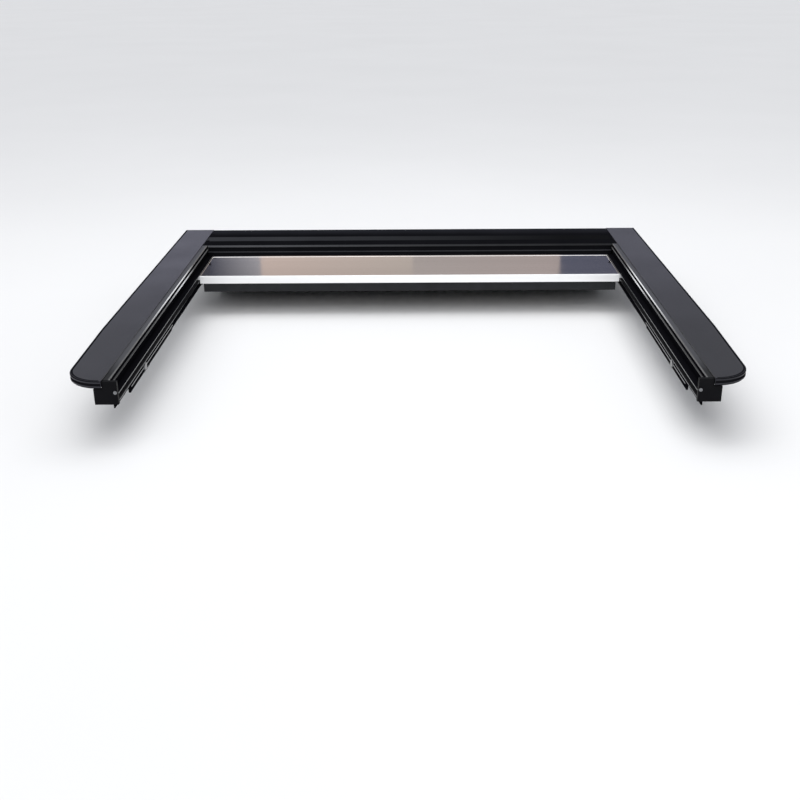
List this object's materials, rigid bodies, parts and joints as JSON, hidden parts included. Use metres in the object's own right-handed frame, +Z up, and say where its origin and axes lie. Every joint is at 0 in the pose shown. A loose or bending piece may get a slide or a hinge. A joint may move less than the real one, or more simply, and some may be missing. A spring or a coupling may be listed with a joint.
{
  "type": "retractable tonneau cover",
  "caption": "Retractable slatted tonneau cover for a pickup bed: canister, side rails with grained caps, bare aluminium lead panel and latch, stored open.",
  "frame": {"origin": "under the middle of the cover, at the height of the drain spigots' ends", "axes": "+X across the bed to its right side, +Y forward to the cab and the canister, +Z up"},
  "size_m": [1.7, 1.56, 0.185],
  "materials": {
    "powder_black": "satin powder coat, fine texture",
    "cap_plastic": "grained, soft sheen",
    "anodised_black": "black anodised, satin",
    "black_plastic": "moulded, fine grain",
    "bare_aluminium": "brushed, satin",
    "bright_aluminium": "bright anodised",
    "slat_aluminium": "satin anodised",
    "rubber": "matte",
    "steel": "zinc plated",
    "bronze": "sintered bronze",
    "nylon": "natural nylon",
    "chrome": "polished"
  },
  "bodies": {
    "frame": {"canister_housing": "powder_black", "canister_lid": "powder_black", "canister_end_left": "powder_black", "canister_end_right": "powder_black", "lid_screws": "powder_black", "drain_spigots": "black_plastic", "bulkhead_seal": "rubber", "exit_wiper": "rubber", "canister_brackets": "powder_black", "bracket_bolts": "steel", "drum_arbor": "steel", "torsion_spring": "steel", "spring_collar": "steel", "guide_axle": "steel", "rail_left": "anodised_black", "rail_right": "anodised_black", "rail_cap_left": "cap_plastic", "rail_cap_right": "cap_plastic", "rail_end_cap_left": "black_plastic", "rail_end_cap_right": "black_plastic", "end_cap_screws": "steel", "rail_seals": "rubber", "track_liners": "black_plastic", "clamp_track_left": "anodised_black", "clamp_track_right": "anodised_black", "clamp_bodies_left": "powder_black", "clamp_bodies_right": "powder_black", "clamp_bolts": "steel", "strike_plates": "steel"},
    "lead": {"lead_panel": "bare_aluminium", "front_bar": "bright_aluminium", "tailgate_seal": "rubber", "lead_guide_left": "black_plastic", "lead_guide_right": "black_plastic", "lock_housing": "black_plastic", "rod_guides": "black_plastic"},
    "curtain_1": {"section_1": "slat_aluminium", "section_1_glides": "black_plastic"},
    "curtain_2": {"section_2": "slat_aluminium", "section_2_glides": "black_plastic"},
    "curtain_3": {"section_3": "slat_aluminium", "section_3_glides": "black_plastic"},
    "curtain_4": {"section_4": "slat_aluminium", "section_4_glides": "black_plastic"},
    "drum": {"drum_tube": "slat_aluminium", "drum_plugs": "black_plastic", "drum_bearings": "bronze", "wound_slats": "slat_aluminium"},
    "roller": {"guide_roller": "slat_aluminium", "roller_bushes": "nylon"},
    "knob": {"lock_knob": "black_plastic", "lock_cam": "steel"},
    "key_cylinder": {"lock_cylinder": "chrome"},
    "rod_left": {"latch_rod_left": "steel"},
    "rod_right": {"latch_rod_right": "steel"},
    "screw_front_left": {"clamp_screw_front_left": "steel"},
    "screw_front_right": {"clamp_screw_front_right": "steel"},
    "screw_rear_left": {"clamp_screw_rear_left": "steel"},
    "screw_rear_right": {"clamp_screw_rear_right": "steel"}
  },
  "joints": [
    {"name": "cover_slide", "type": "slide", "parent": "frame", "child": "lead", "axis": [0, -1, 0], "range_m": [0, 1.058], "stiffness_N_per_m": 30, "springref_m": -0.3},
    {"name": "curtain_1_slide", "type": "slide", "parent": "frame", "child": "curtain_1", "axis": [0, -1, 0], "range_m": [0, 0.97801]},
    {"name": "curtain_2_slide", "type": "slide", "parent": "frame", "child": "curtain_2", "axis": [0, -1, 0], "range_m": [0, 0.70201]},
    {"name": "curtain_3_slide", "type": "slide", "parent": "frame", "child": "curtain_3", "axis": [0, -1, 0], "range_m": [0, 0.42601]},
    {"name": "curtain_4_slide", "type": "slide", "parent": "frame", "child": "curtain_4", "axis": [0, -1, 0], "range_m": [0, 0.15001]},
    {"name": "drum_spin", "type": "hinge", "parent": "frame", "child": "drum", "pos_m": [0, 0.675, 0.073], "axis": [1, 0, 0], "range_deg": [0, 1093]},
    {"name": "roller_spin", "type": "hinge", "parent": "frame", "child": "roller", "pos_m": [0, 0.555, 0.1135], "axis": [1, 0, 0], "range_deg": [0, 4851]},
    {"name": "knob_turn", "type": "hinge", "parent": "lead", "child": "knob", "pos_m": [0, 0.35, 0.105], "axis": [0, 0, -1], "range_deg": [0, 90]},
    {"name": "rod_left_slide", "type": "slide", "parent": "lead", "child": "rod_left", "axis": [-1, 0, 0], "range_m": [0, 0.01201]},
    {"name": "rod_right_slide", "type": "slide", "parent": "lead", "child": "rod_right", "axis": [1, 0, 0], "range_m": [0, 0.01201]},
    {"name": "key_turn", "type": "hinge", "parent": "knob", "child": "key_cylinder", "pos_m": [0, 0.35, 0.1], "axis": [0, 0, 1], "range_deg": [0, 90]},
    {"name": "clamp_front_left", "type": "slide", "parent": "frame", "child": "screw_front_left", "axis": [0, 0, -1], "range_m": [0, 0.04]},
    {"name": "clamp_front_right", "type": "slide", "parent": "frame", "child": "screw_front_right", "axis": [0, 0, -1], "range_m": [0, 0.04]},
    {"name": "clamp_rear_left", "type": "slide", "parent": "frame", "child": "screw_rear_left", "axis": [0, 0, -1], "range_m": [0, 0.04]},
    {"name": "clamp_rear_right", "type": "slide", "parent": "frame", "child": "screw_rear_right", "axis": [0, 0, -1], "range_m": [0, 0.04]}
  ],
  "couplings": [
    {"joint": "curtain_1_slide", "follows": "cover_slide", "ratio": 0.92439},
    {"joint": "curtain_2_slide", "follows": "cover_slide", "ratio": 0.66352},
    {"joint": "curtain_3_slide", "follows": "cover_slide", "ratio": 0.40265},
    {"joint": "curtain_4_slide", "follows": "cover_slide", "ratio": 0.14178},
    {"joint": "drum_spin", "follows": "cover_slide", "rad_per_m": 18},
    {"joint": "roller_spin", "follows": "cover_slide", "rad_per_m": 80},
    {"joint": "rod_left_slide", "follows": "knob_turn", "m_per_rad": 0.0076394},
    {"joint": "rod_right_slide", "follows": "knob_turn", "m_per_rad": 0.0076394}
  ]
}
